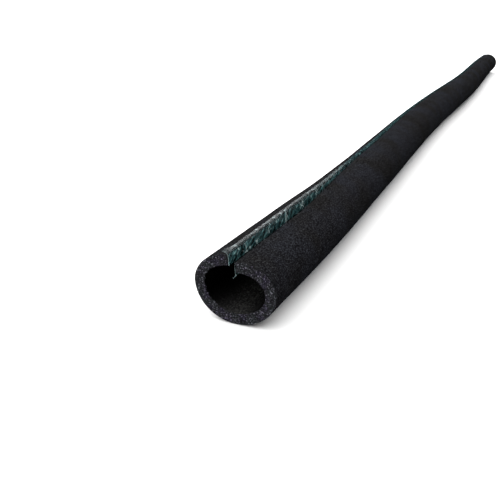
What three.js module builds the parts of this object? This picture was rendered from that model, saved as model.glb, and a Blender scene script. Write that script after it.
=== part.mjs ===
// Foam pipe lagging: a two metre, pre-slit tube for a 42 mm pipe, with a release film over each slit face.
// Millimetres, +Z up. The tube lies along Y on a level floor, slit uppermost, and its gaping end is at -Y.
import * as THREE from "three";

// Stock sizes of the tube and its films
const tubeLength = 2000;
const boreDiameter = 43;
const wallThickness = 9;
const filmWidth = 14;
const filmThickness = 0.2;
const filmClearance = 0.35;

// How the soft tube slumps: by what share it is wider and lower than round, and how far each lip sags in
// where the slit gapes, as a share of the mean radius, with the angle over which that sag fades out
const closedOvality = 0.02;
const gapingOvality = 0.05;
const leftLip = { sag: 0.24, spread: THREE.MathUtils.degToRad(88) };
const rightLip = { sag: 0.44, spread: THREE.MathUtils.degToRad(126) };

// The slit gapes at the -Y end and closes along the tube, and the slump fades out more slowly than it closes
const gapingSlit = 5.7;
const gapingLength = 120;
const closingLength = 130;
const slumpLength = 220;

// Where the slit lies, from the top towards the left, and how it twists further along
const slitTurn = THREE.MathUtils.degToRad(5.7);
const slitTwist = THREE.MathUtils.degToRad(10);
const twistStart = 350;
const twistLength = 400;

// The tube isn't quite straight: a gentle sideways wave, and a slight arch up off the floor between its ends
const swayHeight = 4;
const swayLength = 1100;
const swayCrest = 240;
const archRise = 1;

// The left film stands out past the slit and leans over: less so at the gaping end, then laid over
const filmBend = 1.2;
const endLean = THREE.MathUtils.degToRad(60);
const laidLean = THREE.MathUtils.degToRad(88);
const leanLength = 20;

// How finely the surfaces are divided: steps round the tube on each side of the one it lies on, steps in the
// film's bend, and the spacing of the sections along the tube, where it slumps and further along
const sideSteps = 20;
const bendSteps = 3;
const endStep = 20;
const restStep = 90;

const arcSteps = 2 * sideSteps + 1;
const outerDiameter = boreDiameter + 2 * wallThickness;
const middleLength = (Math.PI * (boreDiameter + outerDiameter)) / 2;
const middleRadius = middleLength / (2 * Math.PI);
const boreShare = boreDiameter / (boreDiameter + wallThickness);
const closedSlit = (2 * filmThickness + 3 * filmClearance) / boreShare;

const { smoothstep, lerp } = THREE.MathUtils;

// 1 where the slit gapes, falling to 0 over the given length beyond
const fadeOut = (along, length) => 1 - smoothstep(along, gapingLength, gapingLength + length);

// Sideways place of the section's middle, and the height of its underside
const sway = (along) => swayHeight * Math.cos((2 * Math.PI * (along - swayCrest)) / swayLength);
const arch = (along) => archRise * Math.sin((Math.PI * along) / tubeLength);

// How far a lip has sagged at an angle from the slit
function sagAt(lip, angle) {
  return angle < lip.spread ? (lip.sag * (1 + Math.cos((Math.PI * angle) / lip.spread))) / 2 : 0;
}

// The line down the middle of the wall at one place along the tube, from the left lip round to the right lip.
// Its length is the same at every place, because the foam bends but doesn't stretch.
class WallLine extends THREE.Curve {
  constructor(along) {
    super();
    this.slump = fadeOut(along, slumpLength);
    this.ovality = lerp(closedOvality, gapingOvality, this.slump);
    const slit = lerp(closedSlit, gapingSlit, fadeOut(along, closingLength));
    const lipRadius = middleRadius * (1 - (this.slump * (leftLip.sag + rightLip.sag)) / 2);
    this.slitAngle = slit / (lipRadius + slit / (2 * Math.PI));
    this.turn = slitTurn + slitTwist * smoothstep(along, twistStart, twistStart + twistLength);
    this.radius = 1;
    this.radius = middleLength / this.getLength();
    const centreHeight = arch(along) + wallThickness / 2 + this.radius * (1 - this.ovality);
    this.centre = new THREE.Vector2(sway(along), centreHeight);
    this.underside = (Math.PI - this.turn - this.slitAngle / 2) / (2 * Math.PI - this.slitAngle);
  }

  getPoint(share, target = new THREE.Vector2()) {
    const fromSlit = this.slitAngle / 2 + share * (2 * Math.PI - this.slitAngle);
    const sag = this.slump * (sagAt(leftLip, fromSlit) + sagAt(rightLip, 2 * Math.PI - fromSlit));
    const angle = this.turn + fromSlit;
    const reach = this.radius * (1 - sag);
    target.set(-reach * (1 + this.ovality) * Math.sin(angle), reach * (1 - this.ovality) * Math.cos(angle));
    return this.centre ? target.add(this.centre) : target;
  }

  // A point at a share of the way round, set in from the middle of the wall towards the bore
  wallPoint(share, inwards) {
    const tangent = this.getTangent(share);
    return this.getPoint(share).add(new THREE.Vector2(-tangent.y, tangent.x).multiplyScalar(inwards));
  }

  // The share of the way round at a step from the left lip. Both sides are stepped evenly from the underside,
  // so that the step between them faces straight down all along the tube.
  shareAt(step) {
    const halfStep = 0.5 / arcSteps;
    if (step <= sideSteps) return ((this.underside - halfStep) * step) / sideSteps;
    return 1 - ((1 - this.underside - halfStep) * (arcSteps - step)) / sideSteps;
  }

  // A lip's face at the slit: its bore corner, the way out along it, and the way across the slit
  face(share) {
    const corner = this.wallPoint(share, wallThickness / 2);
    const outwards = this.wallPoint(share, -wallThickness / 2).sub(corner).normalize();
    const across = this.getTangent(share).multiplyScalar(share > 0.5 ? 1 : -1);
    return { corner, outwards, across };
  }
}

// The path of a film over a slit face: straight from below the bore corner to the outer corner, then bent
// away from the slit to its lean. Gives the point at a distance from the inner edge, and the normal there.
function filmPoint(face, innerOverhang, lean, distance) {
  const { corner, outwards, across } = face;
  const straight = innerOverhang + wallThickness;
  const angle = THREE.MathUtils.clamp((distance - straight) / filmBend, 0, lean);
  const tail = Math.max(0, distance - straight - filmBend * lean);
  const bendRise = filmBend * Math.sin(angle) + tail * Math.cos(angle);
  const rise = Math.min(distance, straight) - innerOverhang + bendRise;
  const fall = filmBend * (1 - Math.cos(angle)) + tail * Math.sin(angle);
  const offset = filmClearance + filmThickness / 2 - fall;
  const point = corner.clone().addScaledVector(outwards, rise).addScaledVector(across, offset);
  const normal = across.clone().multiplyScalar(Math.cos(angle)).addScaledVector(outwards, Math.sin(angle));
  return { point, normal };
}

// Lean of the left film's free edge
const leanAt = (along) => lerp(endLean, laidLean, smoothstep(along, 0, leanLength));

// Places along the tube where its section is worked out, close together until the slump has faded out
function stationsAlong() {
  const nearEnd = gapingLength + Math.max(closingLength, slumpLength);
  const nearSteps = Math.ceil(nearEnd / endStep);
  const farSteps = Math.ceil((tubeLength - nearEnd) / restStep);
  const near = Array.from({ length: nearSteps }, (_, i) => (nearEnd * i) / nearSteps);
  const far = Array.from({ length: farSteps + 1 }, (_, i) => lerp(nearEnd, tubeLength, i / farSteps));
  return [...near, ...far];
}

const stations = stationsAlong();
const walls = stations.map((along) => new WallLine(along));

// Bends a slab into place, moving each of its points by its step across the width, its station and its depth
function bendSlab(widthSteps, depth, place) {
  const slab = new THREE.BoxGeometry(1, 1, depth, widthSteps, stations.length - 1, 1);
  const position = slab.getAttribute("position");
  const point = new THREE.Vector3();
  for (let i = 0; i < position.count; i++) {
    point.fromBufferAttribute(position, i);
    const station = Math.round((point.y + 0.5) * (stations.length - 1));
    const spot = place(Math.round((point.x + 0.5) * widthSteps), station, point.z);
    position.setXYZ(i, spot.x, stations[station] - tubeLength / 2, spot.y);
  }
  slab.computeVertexNormals();
  return slab;
}

// The foam tube is a slab rolled up until its two long edges meet at the slit
function foamTube() {
  const place = (step, station, depth) => walls[station].wallPoint(walls[station].shareAt(step), depth);
  const geometry = bendSlab(arcSteps, wallThickness, place);
  const foam = new THREE.MeshStandardMaterial({ color: 0x26262a, roughness: 0.95, metalness: 0 });
  const mesh = new THREE.Mesh(geometry, foam);
  mesh.name = "foam_tube";
  return mesh;
}

// Distances across a film where its path changes: the ends of its straight part, its bend and its free edge
function filmBreaks(straight, lean) {
  const breaks = [0, straight];
  if (straight < filmWidth) {
    for (let i = 1; i <= bendSteps; i++) breaks.push(straight + (filmBend * lean * i) / bendSteps);
    breaks.push(filmWidth);
  }
  return breaks;
}

// A release film over the slit face of one lip. Film that the face leaves over stands out past the slit,
// except for the inner overhang, which hangs in the bore.
function releaseFilm(name, lipShare, innerOverhang) {
  const straight = innerOverhang + wallThickness;
  const faces = walls.map((wall) => wall.face(lipShare));
  const leans = stations.map(leanAt);
  const widthSteps = filmBreaks(straight, 0).length - 1;
  const depthSign = lipShare > 0.5 ? 1 : -1;
  const geometry = bendSlab(widthSteps, filmThickness, (step, station, depth) => {
    const distance = filmBreaks(straight, leans[station])[step];
    const { point, normal } = filmPoint(faces[station], innerOverhang, leans[station], distance);
    return point.addScaledVector(normal, depthSign * depth);
  });
  const film = new THREE.MeshStandardMaterial({ color: 0x3f6a62, roughness: 0.2, metalness: 0 });
  film.transparent = true;
  film.opacity = 0.55;
  const mesh = new THREE.Mesh(geometry, film);
  mesh.name = name;
  return mesh;
}

const lagging = new THREE.Group();
lagging.add(foamTube());
lagging.add(releaseFilm("release_film_left", 0, 0));
lagging.add(releaseFilm("release_film_right", 1, filmWidth - wallThickness));

// The origin is the middle of the bounding box's underside
const box = new THREE.Box3().setFromObject(lagging);
lagging.position.set(-(box.min.x + box.max.x) / 2, -(box.min.y + box.max.y) / 2, -box.min.z);

export default lagging;
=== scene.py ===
# Foam pipe lagging: black closed-cell rubber foam, slit along its top, with a green release film over
# each face of the slit. Metres, +Z up; the tube lies along Y with its gaping end at -Y.
import math

import bmesh
import bpy
import numpy as np
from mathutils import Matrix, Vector, noise


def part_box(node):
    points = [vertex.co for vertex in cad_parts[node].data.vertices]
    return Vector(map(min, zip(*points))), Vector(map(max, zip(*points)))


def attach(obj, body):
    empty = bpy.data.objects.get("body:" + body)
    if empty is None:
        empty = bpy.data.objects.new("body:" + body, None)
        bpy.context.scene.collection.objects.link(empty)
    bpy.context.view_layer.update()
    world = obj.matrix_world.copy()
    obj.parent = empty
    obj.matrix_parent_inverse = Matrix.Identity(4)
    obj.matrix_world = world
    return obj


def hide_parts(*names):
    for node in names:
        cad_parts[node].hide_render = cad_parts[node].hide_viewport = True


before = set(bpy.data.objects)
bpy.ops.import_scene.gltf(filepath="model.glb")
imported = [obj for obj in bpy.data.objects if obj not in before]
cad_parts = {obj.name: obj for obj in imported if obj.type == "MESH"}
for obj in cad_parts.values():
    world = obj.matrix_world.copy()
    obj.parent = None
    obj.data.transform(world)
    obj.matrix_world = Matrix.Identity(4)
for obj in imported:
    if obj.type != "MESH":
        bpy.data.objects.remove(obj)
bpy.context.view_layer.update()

mm = 0.001
# a direction whose share along an axis is above this counts as lying along it
alongAxis = 0.9


def linearColour(hexText):
    # sRGB hex, such as "1d1e20", to linear RGBA
    channels = [int(hexText[i:i + 2], 16) / 255 for i in (0, 2, 4)]
    return [c / 12.92 if c <= 0.04045 else ((c + 0.055) / 1.055) ** 2.4 for c in channels] + [1]


def addNode(tree, kind, settings=None, stops=(), **inputs):
    # one node with its properties, the stops of its ramp, and its sockets set or linked; a name such as _1
    # means the socket of that number
    node = tree.nodes.new(kind)
    for name, value in (settings or {}).items():
        setattr(node, name, value)
    for index, (place, hexText) in enumerate(stops):
        if index == len(node.color_ramp.elements):
            node.color_ramp.elements.new(1)
        node.color_ramp.elements[index].position = place
        node.color_ramp.elements[index].color = linearColour(hexText)
    for name, value in inputs.items():
        key = int(name[1:]) if name[0] == "_" else name.replace("_", " ")
        if isinstance(value, bpy.types.NodeSocket):
            tree.links.new(value, node.inputs[key])
        else:
            node.inputs[key].default_value = value
    return node


def newMaterial(name):
    # an empty material, its node tree, and the object's own coordinates in it
    material = bpy.data.materials.new(name)
    material.use_nodes = True
    tree = material.node_tree
    tree.nodes.clear()
    return material, tree, addNode(tree, "ShaderNodeTexCoord").outputs["Object"]


def fade(value, low, high):
    # a smooth step from 0 at low to 1 at high
    t = np.clip((value - low) / (high - low), 0, 1)
    return t * t * (3 - 2 * t)


tube = {
    "length": 2000 * mm, "bore": 43 * mm, "wall": 9 * mm,
    "closedOval": 0.02, "gapingOval": 0.05,
    "leftSag": 0.24, "leftSpread": math.radians(88),
    "rightSag": 0.44, "rightSpread": math.radians(126),
    "gapingSlit": 5.7 * mm, "closedSlit": 1.76 * mm,
    "gapingLength": 120 * mm, "closingLength": 130 * mm, "slumpLength": 220 * mm,
    "turn": math.radians(5.7), "twist": math.radians(10), "twistStart": 350 * mm, "twistLength": 400 * mm,
    "swayHeight": 4 * mm, "swayLength": 1100 * mm, "swayCrest": 240 * mm, "archRise": 1 * mm,
    "stepsRound": 132, "stepsThrough": 8, "nearStep": 5 * mm, "restStep": 10 * mm,
    "rimSteps": (0.5 * mm, 1.1 * mm, 1.8 * mm, 2.6 * mm),
    "measuredPoints": 201, "outlinePoints": 400, "tangentStep": 1e-4,
}
middleLength = math.pi * (tube["bore"] + tube["wall"])


class WallLine:
    # the middle of the wall at one place along the tube, from the left lip round underneath to the right
    def __init__(self, along):
        self.along = along
        opened = 1 - float(fade(along, tube["gapingLength"], tube["gapingLength"] + tube["closingLength"]))
        self.slump = 1 - float(fade(along, tube["gapingLength"], tube["gapingLength"] + tube["slumpLength"]))
        self.oval = tube["closedOval"] + (tube["gapingOval"] - tube["closedOval"]) * self.slump
        self.slit = tube["closedSlit"] + (tube["gapingSlit"] - tube["closedSlit"]) * opened
        lipSag = self.slump * (tube["leftSag"] + tube["rightSag"]) / 2
        lipRadius = middleLength / (2 * math.pi) * (1 - lipSag)
        self.slitAngle = self.slit / (lipRadius + self.slit / (2 * math.pi))
        bent = float(fade(along, tube["twistStart"], tube["twistStart"] + tube["twistLength"]))
        self.turn = tube["turn"] + tube["twist"] * bent
        # the foam bends but doesn't stretch, so the line is scaled to the same length everywhere
        self.radius = 1
        self.middle = np.zeros(2)
        line = self.point(np.linspace(0, 1, tube["measuredPoints"]))
        self.radius = middleLength / np.sum(np.hypot(*np.diff(line, axis=0).T))
        arch = tube["archRise"] * math.sin(math.pi * along / tube["length"])
        sway = tube["swayHeight"] * math.cos(2 * math.pi * (along - tube["swayCrest"]) / tube["swayLength"])
        self.middle = np.array([sway, arch + tube["wall"] / 2 + self.radius * (1 - self.oval)])

    def point(self, share):
        # a point at a share of the way round the line, with both lips sagging where the slit gapes
        fromSlit = self.slitAngle / 2 + share * (2 * math.pi - self.slitAngle)
        fromRight = 2 * math.pi - fromSlit
        left = np.where(fromSlit < tube["leftSpread"],
                        tube["leftSag"] * (1 + np.cos(math.pi * fromSlit / tube["leftSpread"])) / 2, 0)
        right = np.where(fromRight < tube["rightSpread"],
                         tube["rightSag"] * (1 + np.cos(math.pi * fromRight / tube["rightSpread"])) / 2, 0)
        reach = self.radius * (1 - self.slump * (left + right))
        angle = self.turn + fromSlit
        x = -reach * (1 + self.oval) * np.sin(angle) + self.middle[0]
        z = reach * (1 - self.oval) * np.cos(angle) + self.middle[1]
        return np.stack([x, z], -1)

    def wallPoint(self, share, inwards):
        # a point set in from the middle of the wall towards the bore
        small = tube["tangentStep"]
        tangent = self.point(np.minimum(share + small, 1)) - self.point(np.maximum(share - small, 0))
        tangent /= np.linalg.norm(tangent, axis=-1, keepdims=True)
        normal = np.stack([-tangent[..., 1], tangent[..., 0]], -1)
        return self.point(share) + normal * np.asarray(inwards)[..., None]


def tubeStations():
    # places along the tube, closer together where it slumps, and closest by the cut rims
    nearEnd = tube["gapingLength"] + tube["slumpLength"]
    near = np.linspace(0, nearEnd, round(nearEnd / tube["nearStep"]), endpoint=False)
    rest = np.linspace(nearEnd, tube["length"], round((tube["length"] - nearEnd) / tube["restStep"]) + 1)
    rim = np.array(tube["rimSteps"])
    return np.sort(np.concatenate([near, rest, rim, tube["length"] - rim]))


def placeOfTube():
    # the move that lays this tube where the frame's own foam tube lies
    shares = np.linspace(0, 1, tube["outlinePoints"])
    outside = np.full(tube["outlinePoints"], -tube["wall"] / 2)
    x = np.array([wall.wallPoint(shares, outside) for wall in walls])[..., 0]
    solidLow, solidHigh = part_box("foam_tube")
    return Vector(((solidLow.x + solidHigh.x - x.min() - x.max()) / 2, -tube["length"] / 2, 0))


stations = tubeStations()
walls = [WallLine(along) for along in stations]
shift = placeOfTube()


def slab(name, stepsAcross, stepsAlong, stepsThrough):
    # a unit box cut into a grid, ready to be bent into place
    bm = bmesh.new()
    bmesh.ops.create_cube(bm, size=1)
    for axis, steps in enumerate((stepsAcross, stepsAlong, stepsThrough)):
        edges = [e for e in bm.edges
                 if abs((e.verts[0].co - e.verts[1].co).normalized()[axis]) > alongAxis]
        if steps > 1:
            bmesh.ops.subdivide_edges(bm, edges=edges, cuts=steps - 1, use_grid_fill=True)
    print(name, "slab", len(bm.faces), "faces")
    return bm


def finishPiece(bm, name, materials, replaced):
    bmesh.ops.recalc_face_normals(bm, faces=bm.faces)
    mesh = bpy.data.meshes.new(name)
    bm.to_mesh(mesh)
    bm.free()
    for material in materials:
        mesh.materials.append(material)
    piece = bpy.data.objects.new(name, mesh)
    bpy.context.scene.collection.objects.link(piece)
    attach(piece, "root")
    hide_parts(replaced)
    return piece


foam = {
    "dentSize": 60 * mm, "dentDepth": 0.22 * mm,
    "skinSize": 7 * mm, "skinDepth": 0.08 * mm, "skinPlace": Vector((9, 2, 5)),
    "cellSize": 1.1 * mm, "cellDepth": 0.28 * mm, "cellWall": 0.5,
    "endCuts": 2, "rimRound": 0.5 * mm, "rimReach": 1 * mm, "rimDepth": 0.49,
    "tornReach": 2.2 * mm, "tornLeast": 0.4, "tornSize": 1.6 * mm, "sharpAngle": 1,
    "skinFinish": 0, "cutFinish": 1, "boreFinish": 2,
}


def foamSurface(place, outward, cut):
    # where a point of the smooth shape ends up, with broad dents, fine skin, and cells where it was cut
    out = foam["dentDepth"] * noise.noise(place / foam["dentSize"])
    out += foam["skinDepth"] * noise.noise(place / foam["skinSize"] + foam["skinPlace"])
    if cut:
        nearest = noise.voronoi(place / foam["cellSize"])[0]
        out += foam["cellDepth"] * (min(nearest[1] - nearest[0], foam["cellWall"]) - foam["cellWall"])
    return place + outward * out


def markFinishes(bm, count):
    # outside and bore keep their skin up to a torn rim at each end, and every other face was cut
    for f in bm.faces:
        spot = f.calc_center_median()
        along = np.interp((spot.y + 0.5) * count, np.arange(count + 1), stations)
        place = Vector((spot.x * middleLength, along, spot.z * tube["wall"]))
        torn = foam["tornReach"] * (foam["tornLeast"] + noise.noise(place / foam["tornSize"]))
        if abs(f.normal.z) < alongAxis or min(along, tube["length"] - along) <= torn:
            f.material_index = foam["cutFinish"]
        else:
            f.material_index = foam["skinFinish"] if f.normal.z < 0 else foam["boreFinish"]
        f.smooth = True


def buildFoam(finishes):
    count = len(stations) - 1
    bm = slab("foam", tube["stepsRound"], count, tube["stepsThrough"])
    markFinishes(bm, count)
    endEdges = [e for e in bm.edges if any(abs(f.normal.y) > alongAxis for f in e.link_faces)]
    bmesh.ops.subdivide_edges(bm, edges=endEdges, cuts=foam["endCuts"], use_grid_fill=True)
    for e in bm.edges:
        if len({f.material_index for f in e.link_faces}) > 1 or e.calc_face_angle(0) > foam["sharpAngle"]:
            e.smooth = False
    fromEnd = np.minimum(stations, tube["length"] - stations)
    rimDrop = foam["rimRound"] * np.clip(1 - fromEnd / foam["rimReach"], 0, 1) ** 2
    bm.verts.ensure_lookup_table()
    across = np.array([v.co.x + 0.5 for v in bm.verts])
    row = np.clip(np.rint([(v.co.y + 0.5) * count for v in bm.verts]).astype(int), 0, count)
    depth = np.array([v.co.z for v in bm.verts]) * tube["wall"]
    normals = [v.normal.copy() for v in bm.verts]
    onCut = [any(f.material_index == foam["cutFinish"] for f in v.link_faces) for v in bm.verts]
    # each row of the slab is rolled up round its own wall line
    for index, wall in enumerate(walls):
        chosen = np.nonzero(row == index)[0]
        spots = wall.wallPoint(across[chosen], depth[chosen])
        inward = wall.wallPoint(across[chosen], depth[chosen] + mm) - spots
        for k, spot, step in zip(chosen, spots, inward):
            n = normals[k]
            inwardDir = Vector((step[0], 0, step[1])).normalized()
            roundDir = Vector((inwardDir.z, 0, -inwardDir.x))
            outward = (inwardDir * n.z + Vector((0, 1, 0)) * n.y + roundDir * n.x).normalized()
            onSkin = abs(depth[k]) > foam["rimDepth"] * tube["wall"]
            drop = rimDrop[index] if onSkin else 0
            place = Vector((spot[0], wall.along, spot[1])) + shift - outward * drop
            bm.verts[int(k)].co = foamSurface(place, outward, onCut[k])
    return finishPiece(bm, "foamTube", finishes, "foam_tube")


film = {
    "width": 14 * mm, "thickness": 0.06 * mm, "clearance": 0.5 * mm, "stepsAcross": 18, "step": 1.3 * mm,
    "bend": 1.0 * mm, "endLean": math.radians(60), "laidLean": math.radians(97), "leanLength": 20 * mm,
    "curl": 2.4 * mm, "slipSize": 55 * mm, "slip": 0.7 * mm,
    "foldSize": 10 * mm, "foldStretch": 2, "foldDepth": 1.1 * mm, "foldSlant": 0.8,
    "creaseSize": 4 * mm, "creaseDepth": 0.35 * mm, "creaseSeed": 7,
    # how far the film lifts: off a closed face, sharing the gap with the other film, and where it is free
    "closedLift": 0.25 * mm, "gapParts": 3, "freeLift": 1.2 * mm,
}


class SlitFace:
    # one face of the slit at one place along the tube, for the film that lies on it
    def __init__(self, wall, lip):
        half = tube["wall"] / 2
        corner, rim = wall.wallPoint(np.array([lip, lip]), np.array([half, -half]))
        self.along = wall.along
        self.corner = Vector((corner[0], wall.along, corner[1])) + shift
        self.outwards = Vector((rim[0] - corner[0], 0, rim[1] - corner[1])).normalized()
        self.across = Vector((self.outwards.z, 0, -self.outwards.x)) * (1 if lip == 0 else -1)
        laid = float(fade(wall.along, 0, film["leanLength"]))
        self.lean = film["endLean"] + (film["laidLean"] - film["endLean"]) * laid
        self.room = film["closedLift"] + (wall.slit - tube["closedSlit"]) / film["gapParts"]

    def filmSpot(self, overhang, distance):
        # a point on the film's smooth path, and the way that its free side faces
        straight = overhang + tube["wall"]
        angle = min(max((distance - straight) / film["bend"], 0), self.lean)
        tail = max(0, distance - straight - film["bend"] * self.lean)
        rise = min(distance, straight) - overhang + film["bend"] * math.sin(angle) + tail * math.cos(angle)
        fall = film["bend"] * (1 - math.cos(angle)) + tail * math.sin(angle)
        hanging = max(0, 1 - distance / overhang) if overhang else 0
        out = film["clearance"] - fall + film["curl"] * hanging ** 2
        spot = self.corner + self.outwards * rise + self.across * out
        return spot, self.across * math.cos(angle) + self.outwards * math.sin(angle)


def crumple(along, distance, seed):
    # flat facets that meet in sharp creases, most of them slanting across the film
    slant = along + film["foldSlant"] * distance
    foldPlace = (slant / film["foldSize"], distance / (film["foldStretch"] * film["foldSize"]), seed)
    creasePlace = (slant / film["creaseSize"], distance / film["creaseSize"], seed + film["creaseSeed"])
    folds = noise.voronoi(Vector(foldPlace))[0]
    fine = noise.voronoi(Vector(creasePlace))[0]
    return film["foldDepth"] * (folds[1] - folds[0]) + film["creaseDepth"] * (fine[1] - fine[0])


def buildFilm(name, node, lip, overhang, material, seed):
    # lip is 0 for the left face of the slit and 1 for the right, and the overhang hangs into the bore
    steps = round(tube["length"] / film["step"])
    bm = slab(name, film["stepsAcross"], steps, 1)
    across = bm.loops.layers.uv.new("acrossAlong")
    for f in bm.faces:
        for loop in f.loops:
            loop[across].uv = (loop.vert.co.x + 0.5, loop.vert.co.y + 0.5)
    slitFaces = [SlitFace(WallLine(tube["length"] * i / steps), lip) for i in range(steps + 1)]
    for v in bm.verts:
        face = slitFaces[round((v.co.y + 0.5) * steps)]
        distance = (v.co.x + 0.5) * film["width"]
        slipped = distance + film["slip"] * noise.noise(Vector((face.along / film["slipSize"], seed, 0)))
        spot, free = face.filmSpot(overhang, slipped)
        backed = overhang < distance < overhang + tube["wall"]
        lift = min(crumple(face.along, distance, seed), face.room if backed else film["freeLift"])
        v.co = spot + free * (lift + v.co.z * film["thickness"])
    return finishPiece(bm, name, [material], node)


skinLook = {
    "pebbleSize": 1.2 * mm, "blotchSize": 45 * mm, "blotchShare": 0.2,
    # painted light and shade: the skin is darker below 22 mm and paler towards its top, as light falls on it
    "paintedLightHeights": (22 * mm, 58 * mm), "paintedLightShares": (-0.08, 0.04),
    "tones": [(0.42, "040405"), (0.62, "141415"), (0.82, "2b2c2e")],
    "hues": [(0.38, "efece6"), (0.62, "e5e8f2")],
    "roughness": (0.95, 0.7), "bump": 0.6, "bumpDepth": 0.3 * mm,
}


def rubberFoamSkin():
    # closed-cell nitrile rubber foam, extruded: a dead matt black skin, pebbled where cells show through
    # it, with painted light that greys it towards its top and painted shade that darkens its lower flank.
    # The cells are about 0.5 mm across, and are drawn at 1.2 mm so that they show.
    look = skinLook
    material, tree, place = newMaterial("nitrileFoamExtrudedSkin")
    pebble = addNode(tree, "ShaderNodeTexNoise", Vector=place, Scale=1 / look["pebbleSize"], Detail=1,
                     Roughness=0.6)
    blotch = addNode(tree, "ShaderNodeTexNoise", Vector=place, Scale=1 / look["blotchSize"], Detail=2)
    mixed = addNode(tree, "ShaderNodeMath", {"operation": "MULTIPLY_ADD"}, _0=blotch.outputs["Fac"],
                    _1=look["blotchShare"], _2=pebble.outputs["Fac"])
    height = addNode(tree, "ShaderNodeSeparateXYZ", Vector=place).outputs["Z"]
    # painted light and shade by height: the lower flank darker, the top paler
    paintedLightByHeight = addNode(tree, "ShaderNodeMapRange", Value=height,
                   From_Min=look["paintedLightHeights"][0], From_Max=look["paintedLightHeights"][1],
                   To_Min=look["paintedLightShares"][0], To_Max=look["paintedLightShares"][1])
    withPaintedLight = addNode(tree, "ShaderNodeMath", {"operation": "ADD"}, _0=mixed.outputs[0], _1=paintedLightByHeight.outputs[0])
    tone = addNode(tree, "ShaderNodeValToRGB", Fac=withPaintedLight.outputs[0], stops=look["tones"])
    hue = addNode(tree, "ShaderNodeValToRGB", Fac=blotch.outputs["Fac"], stops=look["hues"])
    tinted = addNode(tree, "ShaderNodeMix", {"data_type": "RGBA", "blend_type": "MULTIPLY"}, _0=1,
                     _6=tone.outputs["Color"], _7=hue.outputs["Color"])
    bump = addNode(tree, "ShaderNodeBump", Strength=look["bump"], Distance=look["bumpDepth"],
                   Height=pebble.outputs["Fac"])
    rubbed = addNode(tree, "ShaderNodeMapRange", Value=pebble.outputs["Fac"],
                     To_Min=look["roughness"][0], To_Max=look["roughness"][1])
    shader = addNode(tree, "ShaderNodeBsdfPrincipled", Base_Color=tinted.outputs[2],
                     Roughness=rubbed.outputs[0], IOR=1.5, Specular_IOR_Level=0,
                     Normal=bump.outputs["Normal"])
    addNode(tree, "ShaderNodeOutputMaterial", Surface=shader.outputs["BSDF"])
    return material


boreLook = {
    # painted light: the bore's lower wall is painted paler below these heights
    "speckSize": 1.2 * mm, "smear": (1, 0.5, 1), "paintedLightHeights": (22 * mm, 9 * mm),
    "tones": [(0, "010101"), (0.26, "070707"), (0.46, "191919"), (0.64, "333332")],
    "roughness": (0.6, 0.95), "bump": 0.4, "bumpDepth": 0.2 * mm,
}


def rubberFoamBore():
    # the same foam's skin inside the bore, smoother and blacker than outside, with grey specks along its
    # underside that are drawn out a little along the tube: partly dust, and partly painted light where
    # light falls on the lower wall
    look = boreLook
    material, tree, place = newMaterial("nitrileFoamBoreDustAndPaintedLight")
    height = addNode(tree, "ShaderNodeSeparateXYZ", Vector=place).outputs["Z"]
    # painted light: the bore's lower wall, below 22 mm, is painted paler where light falls on it
    low = addNode(tree, "ShaderNodeMapRange", Value=height,
                  From_Min=look["paintedLightHeights"][0], From_Max=look["paintedLightHeights"][1])
    smeared = addNode(tree, "ShaderNodeMapping", Vector=place, Scale=look["smear"])
    specks = addNode(tree, "ShaderNodeTexNoise", Vector=smeared.outputs[0], Scale=1 / look["speckSize"],
                     Detail=3, Roughness=0.7)
    paintedLightByHeight = addNode(tree, "ShaderNodeMath", {"operation": "MULTIPLY"}, _0=low.outputs[0],
                   _1=specks.outputs["Fac"])
    tone = addNode(tree, "ShaderNodeValToRGB", Fac=paintedLightByHeight.outputs[0], stops=look["tones"])
    bump = addNode(tree, "ShaderNodeBump", Strength=look["bump"], Distance=look["bumpDepth"],
                   Height=specks.outputs["Fac"])
    dulled = addNode(tree, "ShaderNodeMapRange", Value=paintedLightByHeight.outputs[0],
                     To_Min=look["roughness"][0], To_Max=look["roughness"][1])
    shader = addNode(tree, "ShaderNodeBsdfPrincipled", Base_Color=tone.outputs["Color"],
                     Roughness=dulled.outputs[0], IOR=1.5, Specular_IOR_Level=0,
                     Normal=bump.outputs["Normal"])
    addNode(tree, "ShaderNodeOutputMaterial", Surface=shader.outputs["BSDF"])
    return material


cutLook = {
    "cellSize": 1.0 * mm, "grainSize": 1.2 * mm, "tingeSize": 6 * mm,
    "tones": [(0.08, "070708"), (0.24, "1d1d1f"), (0.4, "303034"), (0.5, "57555d")],
    "hues": [(0.4, "e8f0ec"), (0.52, "eeeeee"), (0.64, "e8e2f6")],
    "roughness": (0.95, 0.75), "bump": 0.8, "bumpDepth": 0.4 * mm,
}


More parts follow.
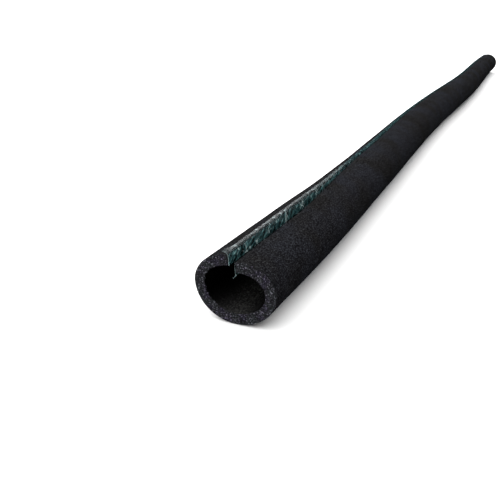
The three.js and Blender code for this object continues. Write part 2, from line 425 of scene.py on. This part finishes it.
def rubberFoamCut():
    # the same foam where it was sawn through: open cells, black pits between paler torn walls that are
    # faintly violet in some places and green in others. The cells are drawn at 1 mm, coarser than life, so
    # that they show.
    look = cutLook
    material, tree, place = newMaterial("nitrileFoamCutCells")
    cells = addNode(tree, "ShaderNodeTexVoronoi", {"feature": "F1"}, Vector=place,
                    Scale=1 / look["cellSize"])
    grain = addNode(tree, "ShaderNodeTexNoise", Vector=place, Scale=1 / look["grainSize"], Detail=1,
                    Roughness=0.6)
    tinge = addNode(tree, "ShaderNodeTexNoise", Vector=place, Scale=1 / look["tingeSize"], Detail=2)
    mixed = addNode(tree, "ShaderNodeMath", {"operation": "MULTIPLY"}, _0=cells.outputs["Distance"],
                    _1=grain.outputs["Fac"])
    tone = addNode(tree, "ShaderNodeValToRGB", Fac=mixed.outputs[0], stops=look["tones"])
    hue = addNode(tree, "ShaderNodeValToRGB", Fac=tinge.outputs["Fac"], stops=look["hues"])
    tinted = addNode(tree, "ShaderNodeMix", {"data_type": "RGBA", "blend_type": "MULTIPLY"}, _0=1,
                     _6=tone.outputs["Color"], _7=hue.outputs["Color"])
    bump = addNode(tree, "ShaderNodeBump", Strength=look["bump"], Distance=look["bumpDepth"],
                   Height=mixed.outputs[0])
    torn = addNode(tree, "ShaderNodeMapRange", Value=grain.outputs["Fac"],
                   To_Min=look["roughness"][0], To_Max=look["roughness"][1])
    shader = addNode(tree, "ShaderNodeBsdfPrincipled", Base_Color=tinted.outputs[2],
                     Roughness=torn.outputs[0], IOR=1.5, Specular_IOR_Level=0,
                     Normal=bump.outputs["Normal"])
    addNode(tree, "ShaderNodeOutputMaterial", Surface=shader.outputs["BSDF"])
    return material


filmLook = {
    # painted light and shade of its folds: dark patches for the shade under folds and paler teal where they
    # face the light, 9 mm long and slanting along the sheet
    "foldShadeSize": (9 * mm, 2.2 * mm, 1), "foldShadeTurn": (0, 0, 1.1),
    "onFoam": [(0.38, "020505"), (0.48, "0f2022"), (0.56, "2a4648"), (0.64, "4b6b6c"), (0.74, "869c9c")],
    "onFlap": [(0.36, "141a1b"), (0.5, "2a3133"), (0.66, "4c5456")],
    # painted glints: pale slanting lines in some stretches, and pale specks where folds meet, standing for
    # highlights on creases
    "lineSize": (12 * mm, 4 * mm, 1), "lineTurn": (0, 0, -0.5), "lineEdge": (0.02, 0.07),
    "stretchSize": 9 * mm, "stretchEdge": (0.56, 0.61), "speckSpacing": 11 * mm, "speckEdge": (0.09, 0.16),
    "paintedGlint": "93a4a4", "paintedGlintFlap": "667374",
    # shares of the way across from the inner edge, and of the way along from the gaping end
    "flapPlace": (0.58, 0.66), "gapingPlace": (0.07, 0.17), "glossPlace": (0.05, 0.15),
    "endPlace": (0.0002, 0.0004), "laidShare": 0.2, "endWhiteness": 0.6,
    "gloss": 0.1, "alphaOnFoam": 0.88, "flapAlpha": (0.32, 0.5), "roughness": (0.2, 0.42),
    "facetSize": 3.5 * mm, "bump": 0.4, "bumpDepth": 0.3 * mm,
}


def crinkledFilm():
    # siliconed polyethylene release film, tinted green: see-through, glossy at the gaping end where its
    # facets catch the light, with painted light and shade over its folds and painted glints that are
    # strongest at the gaping end, dull with dust where it lies down, and pale at its cut end, where light
    # leaves the sheet
    look = filmLook
    material, tree, place = newMaterial("greenPolyethyleneReleaseFilm")
    sheetUv = addNode(tree, "ShaderNodeUVMap", {"uv_map": "acrossAlong"}).outputs["UV"]
    spot = addNode(tree, "ShaderNodeSeparateXYZ", Vector=sheetUv)
    sheet = addNode(tree, "ShaderNodeMapping", Vector=sheetUv, Scale=(film["width"], tube["length"], 1))
    foldShadeSpace = addNode(tree, "ShaderNodeMapping", {"vector_type": "TEXTURE"}, Vector=sheet.outputs[0],
                       Rotation=look["foldShadeTurn"], Scale=look["foldShadeSize"])
    # painted light and shade: this noise darkens the film where shade falls under its folds and lightens it
    # where they face the light
    foldLightAndShade = addNode(tree, "ShaderNodeTexNoise", Vector=foldShadeSpace.outputs[0], Scale=1, Detail=3,
                      Roughness=0.65)
    onFoam = addNode(tree, "ShaderNodeValToRGB", Fac=foldLightAndShade.outputs["Fac"], stops=look["onFoam"])
    onFlap = addNode(tree, "ShaderNodeValToRGB", Fac=foldLightAndShade.outputs["Fac"], stops=look["onFlap"])
    flap = addNode(tree, "ShaderNodeMapRange", Value=spot.outputs["X"],
                   From_Min=look["flapPlace"][0], From_Max=look["flapPlace"][1])
    # the flap is clear and grey by the gaping end, and green again where it lies down further along
    gaping = addNode(tree, "ShaderNodeMapRange", Value=spot.outputs["Y"],
                     From_Min=look["gapingPlace"][0], From_Max=look["gapingPlace"][1],
                     To_Min=1, To_Max=look["laidShare"])
    clear = addNode(tree, "ShaderNodeMath", {"operation": "MULTIPLY"}, _0=flap.outputs[0],
                    _1=gaping.outputs[0])
    tone = addNode(tree, "ShaderNodeMix", {"data_type": "RGBA"}, _0=clear.outputs[0],
                   _6=onFoam.outputs["Color"], _7=onFlap.outputs["Color"])
    slanted = addNode(tree, "ShaderNodeMapping", {"vector_type": "TEXTURE"}, Vector=sheet.outputs[0],
                      Rotation=look["lineTurn"], Scale=look["lineSize"])
    lines = addNode(tree, "ShaderNodeTexVoronoi", {"feature": "DISTANCE_TO_EDGE"},
                    Vector=slanted.outputs[0], Scale=1)
    stretch = addNode(tree, "ShaderNodeTexNoise", Vector=place, Scale=1 / look["stretchSize"], Detail=1)
    shown = addNode(tree, "ShaderNodeMapRange", Value=stretch.outputs["Fac"],
                    From_Min=look["stretchEdge"][0], From_Max=look["stretchEdge"][1])
    line = addNode(tree, "ShaderNodeMapRange", Value=lines.outputs["Distance"],
                   From_Min=look["lineEdge"][0], From_Max=look["lineEdge"][1], To_Min=1, To_Max=0)
    drawn = addNode(tree, "ShaderNodeMath", {"operation": "MULTIPLY"}, _0=line.outputs[0],
                    _1=shown.outputs[0])
    # painted glints: pale specks where folds meet
    folds = addNode(tree, "ShaderNodeTexVoronoi", Vector=place, Scale=1 / look["speckSpacing"])
    speck = addNode(tree, "ShaderNodeMapRange", Value=folds.outputs["Distance"],
                    From_Min=look["speckEdge"][0], From_Max=look["speckEdge"][1], To_Min=1, To_Max=0)
    endEdge = addNode(tree, "ShaderNodeMapRange", Value=spot.outputs["Y"],
                      From_Min=look["endPlace"][0], From_Max=look["endPlace"][1],
                      To_Min=look["endWhiteness"], To_Max=0)
    paintedGlintMarks = addNode(tree, "ShaderNodeMath", {"operation": "MAXIMUM"}, _0=drawn.outputs[0],
                      _1=speck.outputs[0])
    faded = addNode(tree, "ShaderNodeMath", {"operation": "MULTIPLY"}, _0=paintedGlintMarks.outputs[0],
                    _1=gaping.outputs[0])
    pale = addNode(tree, "ShaderNodeMath", {"operation": "MAXIMUM"}, _0=faded.outputs[0],
                   _1=endEdge.outputs[0])
    # painted glints: the pale colour of the highlights, greyer on the flap
    paintedGlint = addNode(tree, "ShaderNodeMix", {"data_type": "RGBA"}, _0=flap.outputs[0],
                       _6=linearColour(look["paintedGlint"]), _7=linearColour(look["paintedGlintFlap"]))
    coloured = addNode(tree, "ShaderNodeMix", {"data_type": "RGBA"}, _0=pale.outputs[0],
                       _6=tone.outputs[2], _7=paintedGlint.outputs[2])
    cling = addNode(tree, "ShaderNodeMapRange", Value=spot.outputs["Y"],
                    From_Min=look["gapingPlace"][0], From_Max=look["gapingPlace"][1],
                    To_Min=look["flapAlpha"][0], To_Max=look["flapAlpha"][1])
    gloss = addNode(tree, "ShaderNodeMapRange", Value=spot.outputs["Y"],
                    From_Min=look["glossPlace"][0], From_Max=look["glossPlace"][1],
                    To_Min=look["gloss"], To_Max=0)
    thin = addNode(tree, "ShaderNodeMapRange", Value=flap.outputs[0], To_Min=look["alphaOnFoam"],
                   To_Max=cling.outputs[0])
    solidity = addNode(tree, "ShaderNodeMath", {"operation": "MAXIMUM"}, _0=thin.outputs[0],
                       _1=pale.outputs[0])
    facets = addNode(tree, "ShaderNodeTexVoronoi", {"feature": "DISTANCE_TO_EDGE"}, Vector=place,
                     Scale=1 / look["facetSize"])
    bump = addNode(tree, "ShaderNodeBump", Strength=look["bump"], Distance=look["bumpDepth"],
                   Height=facets.outputs["Distance"])
    smooth = addNode(tree, "ShaderNodeMapRange", Value=foldLightAndShade.outputs["Fac"],
                     To_Min=look["roughness"][0], To_Max=look["roughness"][1])
    shader = addNode(tree, "ShaderNodeBsdfPrincipled", Base_Color=coloured.outputs[2],
                     Roughness=smooth.outputs[0], IOR=1.5, Specular_IOR_Level=gloss.outputs[0],
                     Alpha=solidity.outputs[0], Normal=bump.outputs["Normal"])
    addNode(tree, "ShaderNodeOutputMaterial", Surface=shader.outputs["BSDF"])
    return material


studio = {
    "worldStrength": 0.25, "worldColour": "ffffff",
    "skyPower": 7.6, "skyAngle": math.radians(115), "skyPlace": (-0.5, -0.8, 2.6),
    "softboxPower": 25, "softboxSize": 1.0, "softboxPlace": (-1.3, 1.2, 1.5), "aim": (0, -0.7, 0.03),
    "floorSize": 40, "floorFlat": 5, "floorRise": 7, "floorSteps": 60,
    "floorTones": [(0, "cecece"), (1, "d4d4d4")], "floorMottle": 3, "floorRoughness": 0.9,
}

photoCamera = {
    "lens": 43.28, "sensor": 36, "place": (186.6 * mm, -1368.1 * mm, 233.8 * mm),
    "tilt": math.radians(90 - 22.5), "heading": math.radians(25.3), "clipStart": 0.01,
}


def paleFloor():
    # smooth painted board, pale grey, with a faint mottle left by the roller
    material, tree, place = newMaterial("palePaintedBoard")
    mottle = addNode(tree, "ShaderNodeTexNoise", Vector=place, Scale=studio["floorMottle"], Detail=2)
    tone = addNode(tree, "ShaderNodeValToRGB", Fac=mottle.outputs["Fac"], stops=studio["floorTones"])
    shader = addNode(tree, "ShaderNodeBsdfPrincipled", Base_Color=tone.outputs["Color"],
                     Roughness=studio["floorRoughness"])
    addNode(tree, "ShaderNodeOutputMaterial", Surface=shader.outputs["BSDF"])
    return material


def buildStudio():
    world = bpy.data.worlds.new("studio")
    world.use_nodes = True
    background = world.node_tree.nodes["Background"]
    background.inputs["Color"].default_value = linearColour(studio["worldColour"])
    background.inputs["Strength"].default_value = studio["worldStrength"]
    bpy.context.scene.world = world
    bpy.context.scene.view_settings.view_transform = "Standard"

    bm = bmesh.new()
    edge = studio["floorSize"] / 2
    bmesh.ops.create_grid(bm, x_segments=studio["floorSteps"], y_segments=studio["floorSteps"], size=edge)
    for v in bm.verts:
        # the floor sweeps up a long way off, as a photographer's cove does
        v.co.z = studio["floorRise"] * float(fade(v.co.length, studio["floorFlat"], edge))
    mesh = bpy.data.meshes.new("floor")
    bm.to_mesh(mesh)
    bm.free()
    mesh.materials.append(paleFloor())
    floor = bpy.data.objects.new("floor", mesh)
    bpy.context.scene.collection.objects.link(floor)

    sky = bpy.data.lights.new("ceilingGlow", "SUN")
    sky.energy = studio["skyPower"]
    sky.angle = studio["skyAngle"]
    box = bpy.data.lights.new("softbox", "AREA")
    box.energy = studio["softboxPower"]
    box.size = studio["softboxSize"]
    for light, place in ((sky, studio["skyPlace"]), (box, studio["softboxPlace"])):
        lamp = bpy.data.objects.new(light.name, light)
        lamp.location = place
        lamp.rotation_euler = (Vector(studio["aim"]) - Vector(place)).to_track_quat("-Z", "Y").to_euler()
        bpy.context.scene.collection.objects.link(lamp)

    camera = bpy.data.objects.new("camera", bpy.data.cameras.new("camera"))
    camera.data.lens = photoCamera["lens"]
    camera.data.sensor_width = photoCamera["sensor"]
    camera.data.clip_start = photoCamera["clipStart"]
    camera.location = photoCamera["place"]
    camera.rotation_euler = (photoCamera["tilt"], 0, photoCamera["heading"])
    bpy.context.scene.collection.objects.link(camera)
    bpy.context.scene.camera = camera


buildStudio()
print("studio and camera made")
foamFinishes = [rubberFoamSkin(), rubberFoamCut(), rubberFoamBore()]
filmFinish = crinkledFilm()
print("materials made")
foamTube = buildFoam(foamFinishes)
print("foam tube made")
overhang = film["width"] - tube["wall"]
leftFilm = buildFilm("releaseFilmLeft", "release_film_left", 0, 0, filmFinish, seed=3)
rightFilm = buildFilm("releaseFilmRight", "release_film_right", 1, overhang, filmFinish, seed=11)
print("release films made")
